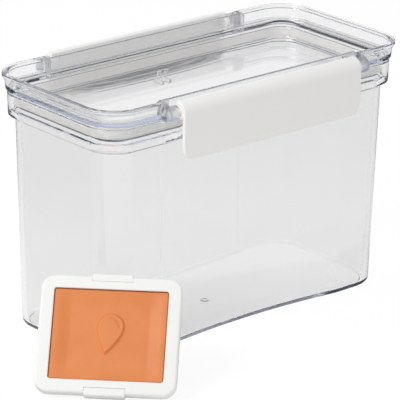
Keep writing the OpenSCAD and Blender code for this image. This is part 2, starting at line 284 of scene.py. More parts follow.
def rounded_line(corners, radii, steps=5):
    """Walks a bent line and swaps each corner for an arc of the given radius that touches both of its
    sides; the arc is a blend of the two radius vectors, weighted by sines of the angle between them."""
    corners = np.asarray(corners, float)
    out = [corners[:1]]
    share = np.linspace(0, 1, steps)[:, None]
    for before, here, after, radius in zip(corners, corners[1:], corners[2:], radii):
        back = (before - here) / np.linalg.norm(before - here)
        ahead = (after - here) / np.linalg.norm(after - here)
        half = math.acos(np.clip(back @ ahead, -1, 1)) / 2
        if radius <= 0 or half > math.pi / 2 - 1e-3:
            out.append(np.repeat(here[None], steps, axis=0))
            continue
        middle = here + (back + ahead) / np.linalg.norm(back + ahead) * radius / math.sin(half)
        first = here + back * radius / math.tan(half) - middle
        last = here + ahead * radius / math.tan(half) - middle
        sweep = math.pi - 2 * half
        arc = np.sin((1 - share) * sweep) * first + np.sin(share * sweep) * last
        out.append(middle + arc / math.sin(sweep))
    out.append(corners[-1:])
    return np.concatenate(out)


def closed_line(corners, radii, steps=5):
    """A closed outline with rounded corners, from a bent line that starts and ends inside one side."""
    corners = np.asarray(corners, float)
    start = (corners[0] + corners[-1])[None] / 2
    return rounded_line(np.concatenate([start, corners, start]), radii, steps)[:-1]


def smooth_step(value, low, high):
    """Rises from 0 to 1 between two values, level at both."""
    share = np.clip((value - low) / (high - low), 0, 1)
    return share * share * (3 - 2 * share)


def round_stations(side, dip, corner_steps):
    """Goes once round a rounded rectangle: four quarter turns, and between them two sides at the given
    places. A station is a corner sign, a place along the side, the other corner sign, a turning angle and
    the dip there."""
    quarter = np.linspace(0, math.pi / 2, corner_steps)
    zero, level = np.zeros(corner_steps), np.zeros(len(side))
    parts = [
        (zero + 1, zero, zero + 1, quarter, zero),
        (level, side, level + 1, level + math.pi / 2, dip),
        (zero - 1, zero, zero + 1, quarter + math.pi / 2, zero),
        (zero - 1, zero, zero - 1, quarter + math.pi, zero),
        (level, -side, level - 1, level + math.pi * 1.5, dip),
        (zero + 1, zero, zero - 1, quarter + math.pi * 1.5, zero),
    ]
    return [np.concatenate(column) for column in zip(*parts)]


def waist_share(side_x):
    """Share of the waist's depth at places along X: a parabola about the middle, with a small step where it
    starts, which shows as an upright crease in the wall."""
    parabola = np.clip(1 - (side_x / WAIST_HALF) ** 2, 0, 1)
    crease = smooth_step(WAIST_HALF - np.abs(side_x), 0, CREASE_WIDTH)
    return parabola * (1 - CREASE_SHARE) + crease * CREASE_SHARE


def outline_stations(side_x):
    """Stations round the tub's and the lid's outline, whose dip is the share of the waist's depth."""
    return round_stations(side_x, waist_share(side_x), corner_steps=14)


def carry_round(stations, inset, height, radius, waist):
    """Carries a profile round the outline. Each argument after the stations is an array of profile points
    by stations, or broadcasts to one: a point stands in from the rim by its inset, turns each corner at
    its radius and is drawn in by its waist times the station's share."""
    sign_x, place_x, sign_y, angle, dip = stations
    x = sign_x * (HALF_L - inset - radius) + place_x + radius * np.cos(angle)
    y = sign_y * (HALF_W - inset - radius - waist * dip) + radius * np.sin(angle)
    return np.stack(np.broadcast_arrays(x, y, height), axis=-1)


def shrink_rings(ring, shares):
    """Copies of a closed ring drawn in towards the Z axis, one for each share of its size."""
    return np.stack([ring * (share, share, 1) for share in shares])


def gate_rings(ring):
    """The mark that the mould's gate leaves on the floor: the ring becomes a circle, whose rim rises as a
    small round ridge and falls again towards the middle."""
    flat = ring[:, :2] / np.linalg.norm(ring[:, :2], axis=1)[:, None]
    share = np.linspace(0, 1, 9)[:, None, None]
    circle = GATE_RADIUS * (1 - GATE_INNER * share) * flat + np.array(GATE_PLACE)
    rise = GATE_HEIGHT * np.sin(math.pi * share) + 0 * circle[..., :1]
    return np.concatenate([circle, ring[:, 2:] + rise], axis=-1)


def broken_ends(outline, low, high, edge, share):
    """An outline at four places from low to high; at both ends it is drawn in to a share of its size, so
    that the edges there are broken."""
    middle = outline.mean(axis=0)
    small = middle + (outline - middle) * share
    return [(low, small), (low + edge, outline), (high - edge, outline), (high, small)]


# Meshes


def grid_faces(rows, columns, wrap):
    """Corner numbers of the quads of a grid; wrap joins its last column to its first."""
    r = np.arange(rows - 1)[:, None]
    c = np.arange(columns if wrap else columns - 1)[None]
    near = r * columns + c
    far = r * columns + (c + 1) % columns
    return np.stack([near, far, far + columns, near + columns], axis=-1).reshape(-1, 4).tolist()


def make_piece(name, points, faces):
    """Puts points and faces into a mesh, merges doubles, turns the faces outwards and smooths them where
    they meet below the sharp angle."""
    mesh = bpy.data.meshes.new(name)
    mesh.from_pydata(np.asarray(points, float).reshape(-1, 3).tolist(), [], faces)
    work = bmesh.new()
    work.from_mesh(mesh)
    bmesh.ops.remove_doubles(work, verts=work.verts, dist=1e-7)
    bmesh.ops.dissolve_degenerate(work, edges=work.edges, dist=1e-7)
    bmesh.ops.recalc_face_normals(work, faces=work.faces)
    work.to_mesh(mesh)
    work.free()
    mesh.polygons.foreach_set("use_smooth", np.ones(len(mesh.polygons), bool))
    mesh.set_sharp_from_angle(angle=SHARP)
    return put_in_scene(name, mesh)


def grid_piece(name, grid, closed_ends=True, wrap=True):
    """A piece from a grid of rings; closed_ends fills its first and last ring."""
    rows, columns = grid.shape[:2]
    caps = []
    if closed_ends:
        caps = [list(range(columns)), list(range((rows - 1) * columns, rows * columns))]
    return make_piece(name, grid, grid_faces(rows, columns, wrap) + caps)


def ring_piece(name, grid):
    """A piece from a grid that closes in both directions, as a seal does."""
    return grid_piece(name, np.concatenate([grid, grid[:1]]), closed_ends=False)


def extrude_x(name, outline, low, high, edge):
    """A plate: a closed outline in Y and Z carried along X, with broken edges at both ends."""
    reach = np.abs(outline - outline.mean(axis=0)).max()
    stack = broken_ends(outline, low, high, edge, 1 - edge / reach)
    return grid_piece(name, np.stack([np.column_stack([np.full(len(ring), x), ring]) for x, ring in stack]))


def turned(name, profile, centre, steps=40):
    """A turned piece about an axis along X: each profile point is a place along X and a radius, and runs once
    round a circle."""
    along, radius = np.asarray(profile, float).T[:, :, None]
    angle = np.linspace(0, 2 * math.pi, steps, endpoint=False)[None]
    grid = np.stack(np.broadcast_arrays(
        along, centre.y + radius * np.cos(angle), centre.z + radius * np.sin(angle)), axis=-1)
    return grid_piece(name, grid)


def mirrored(piece, axis):
    """A copy of a piece on the other side of the middle plane across one axis, with its faces turned out."""
    points = np.empty(len(piece.data.vertices) * 3)
    piece.data.vertices.foreach_get("co", points)
    points = points.reshape(-1, 3)
    points[:, axis] *= -1
    faces = [list(polygon.vertices) for polygon in piece.data.polygons]
    return make_piece(piece.name + "_other", points, faces)


def both_sides(pieces, *axes):
    """The pieces with their mirror images across each of the axes in turn."""
    for axis in axes:
        pieces = pieces + [mirrored(piece, axis) for piece in pieces]
    return pieces


def joined(name, pieces):
    """One piece made of several."""
    mesh = bpy.data.meshes.new(name)
    work = bmesh.new()
    for piece in pieces:
        work.from_mesh(piece.data)
    work.to_mesh(mesh)
    work.free()
    for piece in pieces:
        bpy.data.objects.remove(piece)
    return put_in_scene(name, mesh)


def applied_mesh(piece, sharp):
    """The mesh of a piece after its modifiers, smoothed below a sharp angle; the piece itself goes."""
    view = bpy.context.evaluated_depsgraph_get()
    mesh = bpy.data.meshes.new_from_object(piece.evaluated_get(view))
    mesh.set_sharp_from_angle(angle=sharp)
    bpy.data.objects.remove(piece)
    return mesh


def fused(name, base, parts):
    """One closed skin round a base and everything that grows out of it."""
    union = base.modifiers.new("grown_on", "BOOLEAN")
    union.operation = "UNION"
    union.solver = "EXACT"
    union.use_self = True
    other = joined("grown_on", parts)
    union.object = other
    mesh = applied_mesh(base, SHARP)
    mesh.name = name
    bpy.data.objects.remove(other)
    return put_in_scene(name, mesh)


def finish_piece(piece, body, slot, material, *nodes):
    """Gives a piece its material, ties it to its body and hides the nodes that it stands for; the slot is not
    used.
    """
    piece.data.materials.clear()
    piece.data.materials.append(material)
    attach(piece, body)
    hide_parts(*nodes)
    even = piece.modifiers.new("even_shading", "WEIGHTED_NORMAL")
    even.keep_sharp = True


# Shader nodes


def add_node(tree, kind, inputs, **settings):
    """Adds a node and returns its outputs; an input, named or numbered, takes a link or a plain value."""
    node = tree.nodes.new(kind)
    for label, value in settings.items():
        setattr(node, label, value)
    for key, value in inputs.items():
        if isinstance(value, bpy.types.NodeSocket):
            tree.links.new(value, node.inputs[key])
        else:
            node.inputs[key].default_value = value
    return node.outputs


def reckon(tree, operation, *values, clamp=False):
    """Value of one arithmetic node."""
    return add_node(tree, "ShaderNodeMath", dict(enumerate(values)), operation=operation, use_clamp=clamp)[0]


def combine(tree, operation, first, second):
    """Value between 0 and 1 that joins two values with an arithmetic operation."""
    return reckon(tree, operation, first, second, clamp=True)


def reckon_vector(tree, operation, *values):
    """Outputs of one node of vector arithmetic."""
    return add_node(tree, "ShaderNodeVectorMath", dict(enumerate(values)), operation=operation)


def smooth_span(tree, value, low, high):
    """Value that rises smoothly from 0 at low to 1 at high."""
    return add_node(tree, "ShaderNodeMapRange", {"Value": value, "From Min": low, "From Max": high},
                    interpolation_type="SMOOTHSTEP")["Result"]


def within(tree, value, low, high, edge):
    """Mask of 1 between two values, with soft edges outside them."""
    rise = smooth_span(tree, value, low - edge, low)
    fall = smooth_span(tree, value, high + edge, high)
    return combine(tree, "MULTIPLY", rise, fall)


def places(tree, kind="Object"):
    """A coordinate of one kind, as a vector and as its three parts."""
    vector = add_node(tree, "ShaderNodeTexCoord", {})[kind]
    return vector, *add_node(tree, "ShaderNodeSeparateXYZ", {"Vector": vector})


def mix_colours(tree, share, first, second, **settings):
    """Colour that goes from one to another with a share."""
    return add_node(tree, "ShaderNodeMix", {"Factor": share, "A": first, "B": second},
                    data_type="RGBA", **settings)["Result"]


def mix_shaders(tree, share, first, second):
    """Shader that goes from one to another with a share."""
    return add_node(tree, "ShaderNodeMixShader", {0: share, 1: first, 2: second})["Shader"]


def new_group(name, inputs, outputs):
    """An empty shader group with named number sockets; returns it with its input and output nodes."""
    group = bpy.data.node_groups.new(name, "ShaderNodeTree")
    for label, value in inputs.items():
        socket = group.interface.new_socket(label, in_out="INPUT", socket_type="NodeSocketFloat")
        socket.default_value = value
    for label in outputs:
        group.interface.new_socket(label, in_out="OUTPUT", socket_type="NodeSocketFloat")
    return group, group.nodes.new("NodeGroupInput"), group.nodes.new("NodeGroupOutput")


def moulded_skin_group():
    """Moulded plastic: a slow roll of the surface and a fine grain, as a height and a roughness."""
    group, into, out = new_group(
        "moulded_skin",
        {"Roll Scale": 20.0, "Grain Scale": 900.0, "Grain Share": 0.3, "Roughness Low": 0.2,
         "Roughness High": 0.3},
        ("Height", "Roughness"))
    given = into.outputs
    place = add_node(group, "ShaderNodeTexCoord", {})["Object"]
    roll, grain = [
        add_node(group, "ShaderNodeTexNoise",
                 {"Vector": place, "Scale": given[scale], "Detail": detail})["Fac"]
        for scale, detail in (("Roll Scale", 1.0), ("Grain Scale", 2.0))]
    height = add_node(group, "ShaderNodeMix", {"Factor": given["Grain Share"], "A": roll, "B": grain},
                      data_type="FLOAT")["Result"]
    rough = add_node(group, "ShaderNodeMapRange", {
        "Value": grain, "To Min": given["Roughness Low"], "To Max": given["Roughness High"]})["Result"]
    group.links.new(height, out.inputs["Height"])
    group.links.new(rough, out.inputs["Roughness"])
    return group


MOULDED_SKIN = moulded_skin_group()

# Materials

FILM_CLEAR = 0.985
PLASTIC_IOR = 1.52
MASK_EDGE = 0.1 * MM
POST_TINT_SHARE = 0.12


def new_material(name):
    """A material with a Principled shader and an output; returns it, its tree and these two nodes."""
    material = bpy.data.materials.new(name)
    material.use_nodes = True
    tree = material.node_tree
    tree.nodes.clear()
    shader = tree.nodes.new("ShaderNodeBsdfPrincipled")
    output = tree.nodes.new("ShaderNodeOutputMaterial")
    tree.links.new(shader.outputs["BSDF"], output.inputs["Surface"])
    return material, tree, shader, output


def add_skin(tree, shader, bump_depth, **values):
    """Places the moulded skin in a material: its roughness, and its height through a bump."""
    skin = tree.nodes.new("ShaderNodeGroup")
    skin.node_tree = MOULDED_SKIN
    for label, value in values.items():
        skin.inputs[label.replace("_", " ").title()].default_value = value
    bump = add_node(tree, "ShaderNodeBump", {"Distance": bump_depth, "Height": skin.outputs["Height"]})
    tree.links.new(skin.outputs["Roughness"], shader.inputs["Roughness"])
    tree.links.new(bump["Normal"], shader.inputs["Normal"])


def pass_light(tree, shader, output):
    """Swaps the shader for a clear film on rays from lamps and on rays from dull surfaces, so that what is
    behind it is lit."""
    path = add_node(tree, "ShaderNodeLightPath", {})
    film = add_node(tree, "ShaderNodeBsdfTransparent", {"Color": (FILM_CLEAR, FILM_CLEAR, FILM_CLEAR, 1)})
    shown = shader.outputs["BSDF"]
    for kind in ("Is Diffuse Ray", "Is Shadow Ray"):
        shown = mix_shaders(tree, path[kind], shown, film["BSDF"])
    tree.links.new(shown, output.inputs["Surface"])


def clear_plastic(name, tint, absorb, density):
    """Clear moulded plastic: tinted glass with a faint roll in its surface, a little darker where it is
    thick."""
    material, tree, shader, output = new_material(name)
    shader.inputs["Base Color"].default_value = (*tint, 1)
    shader.inputs["Transmission Weight"].default_value = 1.0
    shader.inputs["IOR"].default_value = PLASTIC_IOR
    add_skin(tree, shader, bump_depth=0.000006, roll_scale=14.0, grain_scale=60.0, grain_share=0.1,
             roughness_low=0.0, roughness_high=0.02)
    pass_light(tree, shader, output)
    volume = add_node(tree, "ShaderNodeVolumeAbsorption", {"Color": (*absorb, 1), "Density": density})
    tree.links.new(volume["Volume"], output.inputs["Volume"])
    return material


def tint_where(material, mask, colour):
    """Gives a clear plastic a second tint where a mask is 1."""
    tree = material.node_tree
    tint = tree.nodes["Principled BSDF"].inputs["Base Color"]
    tree.links.new(mix_colours(tree, mask, tint.default_value, (*colour, 1)), tint)


def paint_floor_lighter(material, colour):
    """Painted light: the tub's floor is given a white tint, so that it shows lighter than the walls, which
    keep their grey tint.
    """
    tree = material.node_tree
    z = places(tree)[3]
    tint_where(material, smooth_span(tree, z, FLOOR_TOP + 0.6 * MM, FLOOR_TOP), colour)


def hinge_zone(tree, low, high):
    """Mask of what lies outside the bay walls, between two distances along X from the middle."""
    _, x, y, _ = places(tree)
    wall = HALF_W - BAY_IN
    along = within(tree, reckon(tree, "ABSOLUTE", x), low, high, MASK_EDGE)
    outside = smooth_span(tree, reckon(tree, "ABSOLUTE", y), wall - 0.5 * MM, wall)
    return combine(tree, "MULTIPLY", along, outside)


def tint_thick_edges(material, colour):
    """The outer edge of the lid's ledge and, less so, the edges of its posts, where one looks far into the
    plastic. The ledge's edge is where the normal points away from the middle."""
    tree = material.node_tree
    vector, _, _, z = places(tree)
    flat = reckon_vector(tree, "MULTIPLY", vector, (1, 1, 0))["Vector"]
    outward = reckon_vector(tree, "DOT_PRODUCT", flat, vector.node.outputs["Normal"])["Value"]
    facing = smooth_span(tree, outward, 10 * MM, 30 * MM)
    level = within(tree, z, LEDGE_LOW + 0.3 * MM, LEDGE_TOP - 0.3 * MM, 2 * MASK_EDGE)
    ledge = combine(tree, "MULTIPLY", facing, level)
    post = hinge_zone(tree, BAY_HALF + MASK_EDGE, BAY_HALF + POST_T - 2 * MASK_EDGE)
    post = reckon(tree, "MULTIPLY", post, POST_TINT_SHARE)
    tint_where(material, combine(tree, "MAXIMUM", ledge, post), colour)


def frost_hinges(material, rough):
    """The posts and knuckles at the ends of the latch bays, whose surface is finely matt."""
    tree = material.node_tree
    finish = tree.nodes["Principled BSDF"].inputs["Roughness"]
    skin = finish.links[0].from_socket
    matt = hinge_zone(tree, KNUCKLE_START - MASK_EDGE, BAY_HALF + POST_T)
    tree.links.new(combine(tree, "MAXIMUM", skin, reckon(tree, "MULTIPLY", matt, rough)), finish)


def white_plastic(name, colour, rough):
    """Opaque white moulded plastic with a fine satin grain."""
    material, tree, shader, _ = new_material(name)
    shader.inputs["Base Color"].default_value = (*colour, 1)
    shader.inputs["IOR"].default_value = 1.46
    add_skin(tree, shader, bump_depth=0.00004, roll_scale=30.0, grain_scale=1400.0, grain_share=0.5,
             roughness_low=rough - 0.05, roughness_high=rough + 0.06)
    return material


def milky_silicone(name, colour):
    """Soft milky silicone, which lets a blurred light through."""
    material, tree, shader, output = new_material(name)
    pass_light(tree, shader, output)
    shader.inputs["Base Color"].default_value = (*colour, 1)
    shader.inputs["Transmission Weight"].default_value = 0.65
    shader.inputs["IOR"].default_value = 1.41
    add_skin(tree, shader, bump_depth=0.00003, roll_scale=40.0, grain_scale=1200.0, grain_share=0.4,
             roughness_low=0.3, roughness_high=0.42)
    return material


def fired_clay(name, dark, light):
    """Unglazed fired clay: patches of darker and lighter firing under a fine sandy grain."""
    material, tree, shader, _ = new_material(name)
    place = add_node(tree, "ShaderNodeTexCoord", {})["Object"]
    patch, grain = [
        add_node(tree, "ShaderNodeTexNoise", {"Vector": place, "Scale": scale, "Detail": detail})
        for scale, detail in ((55.0, 3.0), (1600.0, 4.0))]
    firing = tree.nodes.new("ShaderNodeValToRGB")
    for stop, position, colour in zip(firing.color_ramp.elements, (0.3, 0.72), (dark, light)):
        stop.position = position
        stop.color = (*colour, 1)
    tree.links.new(patch["Fac"], firing.inputs["Fac"])
    speck = mix_colours(tree, 0.12, firing.outputs["Color"], grain["Color"], blend_type="MULTIPLY")
    rough = add_node(tree, "ShaderNodeMapRange", {"Value": grain["Fac"], "To Min": 0.42, "To Max": 0.58})
    bump = add_node(tree, "ShaderNodeBump", {"Strength": 0.5, "Distance": 0.00006, "Height": grain["Fac"]})
    shader.inputs["IOR"].default_value = 1.5
    tree.links.new(speck, shader.inputs["Base Color"])
    tree.links.new(rough["Result"], shader.inputs["Roughness"])
    tree.links.new(bump["Normal"], shader.inputs["Normal"])
    return material


# Tub


def tub_profile():
    """Walks the tub's section from the pad underneath, up the outside, round the collar, over the neck and
    down the inside to the floor. Each corner is an inset from the rim, a height and the radius that rounds
    it."""
    inner_top, inner_foot = WALL_INSET + TUB_WALL, FOOT_INSET + TUB_WALL
    catch_inset = COLLAR_INSET + COLLAR_TAPER / 4
    line = np.array([
        (PAD_INSET + 1 * MM, 0, 0),
        (PAD_INSET, 0, 0.2 * MM),
        (PAD_INSET - PAD_SLOPE, PAD_HEIGHT, 0.3 * MM),
        (FOOT_INSET, PAD_HEIGHT, FOOT_ROUND),
        (WALL_INSET, WALL_TOP, 1.5 * MM),
        (COLLAR_INSET + COLLAR_UNDER, COLLAR_LOW, 0.4 * MM),
        (COLLAR_INSET + COLLAR_TAPER, COLLAR_LOW, 0.35 * MM),
        (catch_inset, CATCH_TOP - CATCH_RUN, 0),
        (catch_inset, CATCH_TOP, 0),
        (COLLAR_INSET - COLLAR_TAPER, COLLAR_TOP, 0.7 * MM),
        (NECK_INSET, COLLAR_TOP, 0.2 * MM),
        (NECK_INSET, NECK_TOP, 0.6 * MM),
        (BORE_INSET, NECK_TOP, 0.8 * MM),
        (BORE_INSET, BORE_LOW, 0.2 * MM),
        (BORE_INSET + MOUTH_STEP, BORE_LOW - MOUTH_DROP, 0.2 * MM),
        (inner_top, WALL_TOP, 2 * MM),
        (inner_foot, FLOOR_TOP, FLOOR_FILLET),
        (FLOOR_START, FLOOR_TOP, 0)])
    return rounded_line(line[:, :2], line[1:-1, 2], steps=7)


def reference_wall(height):
    """Inset and corner radius of the tub's outer face at a height, and how much of the waist is left
    there."""
    inset = np.interp(height, [0, WALL_TOP, COLLAR_LOW], [FOOT_INSET, WALL_INSET, NECK_INSET])
    radius = np.interp(height, [WALL_TOP, COLLAR_LOW], [TUB_RADIUS, NECK_RADIUS])
    waist = WAIST_DEPTH * np.interp(height, [WALL_TOP, COLLAR_LOW], [1, 0])
    return inset, radius, waist


def make_tub(material):
    """The tub's section carried round its outline; corners stay concentric with the outer wall, the collar
    is cut back to the neck behind each latch, and both ends of the section are drawn in to the middle of
    the floor."""
    inset, height = tub_profile().T
    wall_inset, wall_radius, waist = reference_wall(height)
    radius = np.maximum(wall_radius - (inset - wall_inset), LEAST_RADIUS)
    crease = np.linspace(WAIST_HALF, WAIST_HALF - CREASE_WIDTH, 7)
    pocket = np.linspace(POCKET_HALF, -POCKET_HALF, 36)
    slope = POCKET_HALF + POCKET_SIDE
    stations = outline_stations(np.concatenate([crease, [slope], pocket, [-slope], -crease[::-1]]))
    sign_x, place_x = stations[:2]
    behind_latch = (sign_x == 0) & (np.abs(place_x) <= POCKET_HALF)
    above_catch = (height > CATCH_TOP - CATCH_RUN / 10) & (inset < NECK_INSET)
    cut_back = above_catch[:, None] & behind_latch
    deep_inset = np.where(cut_back, NECK_INSET, inset[:, None])
    rings = carry_round(stations, deep_inset, height[:, None], radius[:, None], waist[:, None])
    under = shrink_rings(rings[0], CLOSING_SHARES)
    floor = shrink_rings(rings[-1], CLOSING_SHARES[::-1])
    tub = grid_piece("tub", np.concatenate([under, rings, floor, gate_rings(rings[-1])]))
    finish_piece(tub, "container", "tub_plastic", material, "container_body")


# Lid


def make_lid_shell():
    """The lid without its fittings: one section, from the middle of the panel up the recess, over the ledge
    and the rim, down the skirt and back underneath past the groove that holds the seal. It is carried round
    the outline and drawn in to the middle at both ends; along a bay the rim gives way to the straight wall
    behind the latch. Each corner is an inset from the rim, a height and the radius that rounds it."""
    recess = [
        (PANEL_START, PANEL_TOP, 0),
        (TRAY_IN, PANEL_TOP, 2 * MM),
        (TRAY_IN, LEDGE_TOP, 1 * MM)]
    rim = [
        (RIM_WALL, LEDGE_TOP, 0.8 * MM),
        (RIM_WALL, RIM_Z, 0.9 * MM),
        (0, RIM_Z, 0.9 * MM),
        (0, LIP_LOW, 0.9 * MM),
        (SKIRT_INSET - SKIRT_TAPER, LIP_LOW, 0.3 * MM),
        (SKIRT_INSET + SKIRT_TAPER, LEDGE_LOW, 0.5 * MM)]
    bay = [
        (BAY_IN, LEDGE_TOP, 0.1 * MM),
        (BAY_IN, RIM_Z, 0.8 * MM),
        (BAY_OUT, RIM_Z, 0.8 * MM),
        (BAY_OUT, LIP_LOW, 0),
        (BAY_OUT, LIP_LOW - 0.2 * MM, 0),
        (BAY_OUT, LEDGE_LOW, 0.4 * MM)]
    groove = [
        (BEAD_OUT, LEDGE_LOW, 0.4 * MM),
        (BEAD_OUT, SEAL_TOP, 0.2 * MM),
        (TRAY_OUT, SEAL_TOP, 0.2 * MM),
        (TRAY_OUT, SEAL_LOW, 0.2 * MM),
        (BEAD_OUT, SEAL_LOW, 0.2 * MM),
        (BEAD_OUT, SEAL_LOW - BEAD_HEIGHT, 0.2 * MM),
        (TRAY_OUT, SEAL_LOW - BEAD_HEIGHT, 0.2 * MM),
        (TRAY_OUT, PANEL_LOW, 0.8 * MM),
        (PANEL_START, PANEL_LOW, 0)]
    at_end, at_bay = [rounded_line(line[:, :2], line[1:-1, 2])[:, :, None]
                      for line in (np.array(recess + part + groove) for part in (rim, bay))]
    beyond = BAY_STEP + BAY_STEP_RUN
    along_bay = np.linspace(BAY_STEP, -BAY_STEP, 13)
    stations = outline_stations(np.concatenate([[beyond], along_bay, [-beyond]]))
    in_bay = (stations[0] == 0) & (np.abs(stations[1]) <= BAY_STEP)
    inset = np.where(in_bay, at_bay[:, 0], at_end[:, 0])
    height = np.where(in_bay, at_bay[:, 1], at_end[:, 1])
    rings = carry_round(stations, inset, height, np.maximum(RIM_RADIUS - inset, LEAST_RADIUS), 0.0)
    panel = shrink_rings(rings[0], CLOSING_SHARES)
    under = shrink_rings(rings[-1], CLOSING_SHARES[::-1])
    return grid_piece("lid_shell", np.concatenate([panel, rings, under]))


def lid_fittings():
    """What is moulded onto the lid: at each end of a latch bay a plate and a drilled knuckle on the hinge
    axis, and under the panel the footed prongs that take the insert."""
    in_front, behind = POST_IN - HALF_W, BAY_IN - 0.2 * MM - HALF_W
    step_z = LEDGE_LOW + 0.3 * MM
    post = closed_line(
        [(HINGE.y, POST_LOW), (in_front, POST_LOW), (in_front, step_z), (behind, step_z),
         (behind, POST_TOP), (HINGE.y, POST_TOP)],
        np.array([1.5, 0.5, 0.5, 0.3, 0.6, 2]) * MM)
    plate = extrude_x("bay_post", post, BAY_HALF - 0.05 * MM, BAY_HALF + POST_T, 0.3 * MM)
    bore = PIN_RADIUS + PIN_CLEAR
    knuckle_end = BAY_HALF + POST_T - 0.1 * MM
    knuckle = turned("knuckle", rounded_line(
        [(BAY_HALF, AXIS_RADIUS), (BAY_HALF, bore), (KNUCKLE_START, bore), (KNUCKLE_START, KNUCKLE_RADIUS),
         (knuckle_end, KNUCKLE_RADIUS), (knuckle_end, AXIS_RADIUS)],
        np.array([0.3, 0.4, 0.6, 0.6]) * MM), HINGE)
    prong_low, prong_top = PANEL_LOW - PRONG_DROP, PANEL_LOW + 1 * MM
    foot_top = prong_low + PRONG_FOOT
    stem_back = PRONG_Y + PRONG_T
    foot = closed_line(
        [(PRONG_FRONT, prong_low), (PRONG_BACK, prong_low), (PRONG_BACK, foot_top), (stem_back, foot_top),
         (stem_back, prong_top), (PRONG_Y, prong_top), (PRONG_Y, foot_top), (PRONG_FRONT, foot_top)],
        np.array([0.5, 0.5, 0.5, 0.3, 0, 0, 0.3, 0.5]) * MM, steps=4)
    prong = extrude_x("prong", foot, PRONG_LEFT, PRONG_RIGHT, 0.2 * MM)
    return both_sides([plate, knuckle, prong], 0, 1)


def make_whole_lid(material):
    """The lid's shell with its posts, knuckles and prongs, as one moulding."""
    lid = fused("lid_moulding", make_lid_shell(), lid_fittings())
    finish_piece(lid, "lid", "lid_plastic", material, "lid")


# Seal


def make_seal(material):
    """A closed section with a band and two lips, carried round between the neck and the lid's recess."""
    back = TRAY_OUT - SEAL_CLEAR
    low_edge, top_edge = SEAL_LOW + SEAL_CLEAR, SEAL_TOP - SEAL_CLEAR
    corners = [(back, low_edge), (back, top_edge), (SEAL_BAND, top_edge)]
    for top in (SEAL_TOP - SEAL_LIP_EDGE, SEAL_LOW + SEAL_LIP_EDGE + SEAL_LIP_HEIGHT):
        low = top - SEAL_LIP_HEIGHT
        corners += [(SEAL_BAND, top), (SEAL_LIP, top - SEAL_LIP_SLOPE), (SEAL_LIP, low + SEAL_LIP_SLOPE),
                    (SEAL_BAND, low)]
    corners += [(SEAL_BAND, low_edge)]
    inset, height = closed_line(corners, np.full(len(corners), SEAL_ROUND), steps=4).T
    stations = outline_stations(np.linspace(BAY_HALF, -BAY_HALF, 9))
    grid = carry_round(stations, inset[:, None], height[:, None], RIM_RADIUS - inset[:, None], 0.0)
    finish_piece(ring_piece("seal_ring", grid), "lid", "seal_rubber", material, "lid_seal")


# Latches


def latch_sheet():
    """Middle surface of the front latch. Down its section it first turns about the hinge axis as a roll and
    then drops straight; across, it runs between two ends that draw in as quarter ellipses at the lower
    edge."""
    middle = ROLL_RADIUS - LATCH_THICK / 2
    start = math.acos(ROLL_WRAP / ROLL_RADIUS)
    angle = np.linspace(start, math.pi, 15)
    drop = np.linspace(0, LATCH_DROP, 26)[1:]
    down = np.concatenate([middle * (angle - math.pi), drop])
    y = np.concatenate([HINGE.y + middle * np.cos(angle), np.full(len(drop), HINGE.y - middle)])
    z = np.concatenate([HINGE.z + middle * np.sin(angle), HINGE.z - drop])
    above = np.clip((LATCH_DROP - down) / LATCH_CORNER_TALL, 0, 1)
    end = LATCH_HALF - LATCH_CORNER_WIDE * (1 - np.sqrt(1 - (1 - above) ** 2))
    x = end[:, None] * np.linspace(-1, 1, 41)
    return np.stack(np.broadcast_arrays(x, y[:, None], z[:, None]), axis=-1)


def make_front_latch():
    """The latch's sheet given its thickness, with the hook inside and an ear and a pin at each end."""
    sheet = grid_piece("latch_sheet", latch_sheet(), closed_ends=False, wrap=False)
    wall = sheet.modifiers.new("wall", "SOLIDIFY")
    wall.thickness = LATCH_THICK
    wall.offset = 0
    wall.use_even_offset = True
    soft = sheet.modifiers.new("soft_edge", "BEVEL")
    soft.width = LATCH_EDGE
    soft.segments = 3
    soft.limit_method = "ANGLE"
    soft.angle_limit = LATCH_SHARP
    shell = put_in_scene("latch_shell", applied_mesh(sheet, LATCH_SHARP))
    hook_y = HINGE.y - ROLL_RADIUS + LATCH_THICK / 2
    hook_line = closed_line(
        [(hook_y, HOOK_LOW), (HOOK_TIP, HOOK_LOW), (HOOK_TIP, HOOK_TOP), (hook_y, HOOK_TOP)],
        np.array([0, 0.9, 0.4, 0]) * MM)
    hook = extrude_x("hook", hook_line, -HOOK_HALF, HOOK_HALF, 0.4 * MM)
    ear_in = LATCH_HALF - EAR_T
    ear = turned("ear", rounded_line(
        [(ear_in, AXIS_RADIUS), (ear_in, KNUCKLE_RADIUS), (LATCH_HALF, KNUCKLE_RADIUS),
         (LATCH_HALF, PIN_RADIUS), (PIN_END, PIN_RADIUS), (PIN_END, AXIS_RADIUS)],
        np.array([0.3, 0.3, 0.2, 0.3]) * MM), HINGE)
    return joined("front_latch_panel", [shell, hook] + both_sides([ear], 0))


def make_latches(material):
    """The front latch and its mirror image at the back."""
    front = make_front_latch()
    back = mirrored(front, 1)
    back.name = "back_latch_panel"
    finish_piece(front, "front_latch", "latch_plastic", material, "front_latch")
    finish_piece(back, "back_latch", "latch_plastic", material, "back_latch")


# Insert


def lean_back(across, front, up):
    """Carries a point of the upright insert to where it leans: tilts it back about its lower back edge, turns
    it to face the corner's diagonal and stands it at its foot."""
    level = up * math.sin(LEAN) - front * math.cos(LEAN)
    height = front * math.sin(LEAN) + up * math.cos(LEAN)
    x = INSERT_FOOT.x + (across + level) * DIAGONAL
    y = INSERT_FOOT.y + (level - across) * DIAGONAL
    return np.stack(np.broadcast_arrays(x, y, height), axis=-1)


